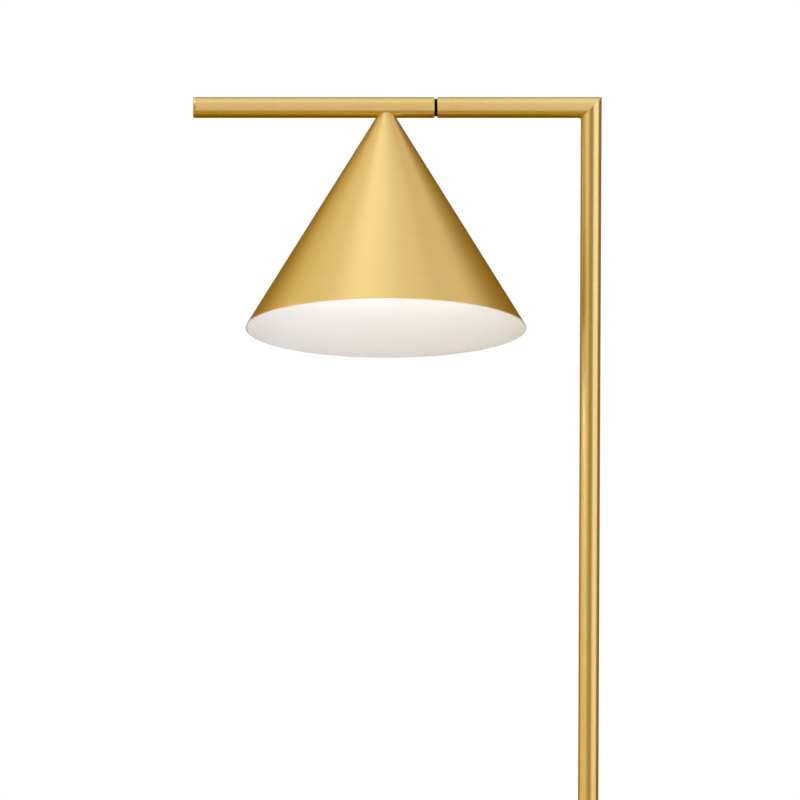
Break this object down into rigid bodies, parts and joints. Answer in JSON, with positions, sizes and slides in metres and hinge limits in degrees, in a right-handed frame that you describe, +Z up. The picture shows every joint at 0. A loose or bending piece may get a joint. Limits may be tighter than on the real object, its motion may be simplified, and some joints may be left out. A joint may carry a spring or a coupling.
{
  "type": "floor lamp",
  "caption": "Reading floor lamp with a round weighted base, a slim post with a mitred arm, and a conical shade that swivels about the arm.",
  "frame": {"origin": "centre of the round base, on the floor, at the underside of the floor pad", "axes": "+Z up along the post, -X the way the arm points, -Y the front, towards which the shade is tilted at rest"},
  "size_m": [0.426, 0.3135, 1.54],
  "materials": {
    "satin_brass": "satin, fine turned brush lines, clear lacquer",
    "turned_brass": "turned, unlacquered",
    "zinc_steel": "turned and zinc plated",
    "spring_steel": "drawn wire and pressed strip",
    "cast_iron": "as cast, thin grey primer",
    "foam_pad": "fine-cell foam",
    "black_nylon": "moulded, matt",
    "black_lead": "extruded, dull",
    "core_insulation": "extruded, smooth",
    "white_plastic": "moulded, semi-gloss",
    "white_ceramic": "unglazed, fine",
    "nickel_cap": "rolled thread, nickel plated",
    "opal_plastic": "frosted opal"
  },
  "bodies": {
    "root": {"base_pad": "foam_pad", "base_plate": "zinc_steel", "plate_screws": "zinc_steel", "base_weight": "cast_iron", "base_cover": "satin_brass", "inlet_bush": "black_nylon", "post_collar": "satin_brass", "post_foot_plug": "zinc_steel", "post_stud": "zinc_steel", "stud_washer": "zinc_steel", "stud_nut": "zinc_steel", "terminal_block": "white_plastic", "terminal_screws": "turned_brass", "base_cores": "core_insulation", "switch_wires": "core_insulation", "switch_body": "black_nylon", "button_bezel": "satin_brass", "bezel_nut": "zinc_steel", "button_spring": "spring_steel", "post_lower_tube": "satin_brass", "coupler_socket": "zinc_steel", "coupler_stud": "zinc_steel", "post_upper_tube": "satin_brass", "fixed_arm_tube": "satin_brass", "root_plug": "zinc_steel", "stop_pin": "zinc_steel", "joint_ring": "black_nylon", "supply_lead": "black_lead"},
    "button": {"foot_button": "satin_brass"},
    "head": {"spindle": "zinc_steel", "friction_washer": "turned_brass", "spring_washer": "spring_steel", "spindle_nut": "zinc_steel", "swivel_plug": "zinc_steel", "swivel_arm_tube": "satin_brass", "arm_end_cap": "satin_brass", "swivel_lead": "black_lead", "shade": "satin_brass", "holder_bush": "turned_brass", "holder_nipple": "zinc_steel", "holder_cores": "core_insulation", "holder_cap": "white_plastic", "holder_body": "white_plastic", "contact_disc": "white_ceramic", "screw_shell": "turned_brass", "centre_contact": "turned_brass", "bulb_tip": "black_nylon", "bulb_screw_cap": "nickel_cap", "bulb_housing": "white_plastic", "bulb_globe": "opal_plastic"}
  },
  "joints": [
    {"name": "arm_swivel", "type": "hinge", "parent": "root", "child": "head", "pos_m": [-0.065, 0, 1.53], "axis": [1, 0, 0], "range_deg": [-144.2, 175.8]},
    {"name": "button_press", "type": "slide", "parent": "root", "child": "button", "axis": [0, 0, -1], "range_m": [0, 0.004], "stiffness_N_per_m": 1500, "springref_m": -0.003, "deforming": ["button_spring"]}
  ]
}
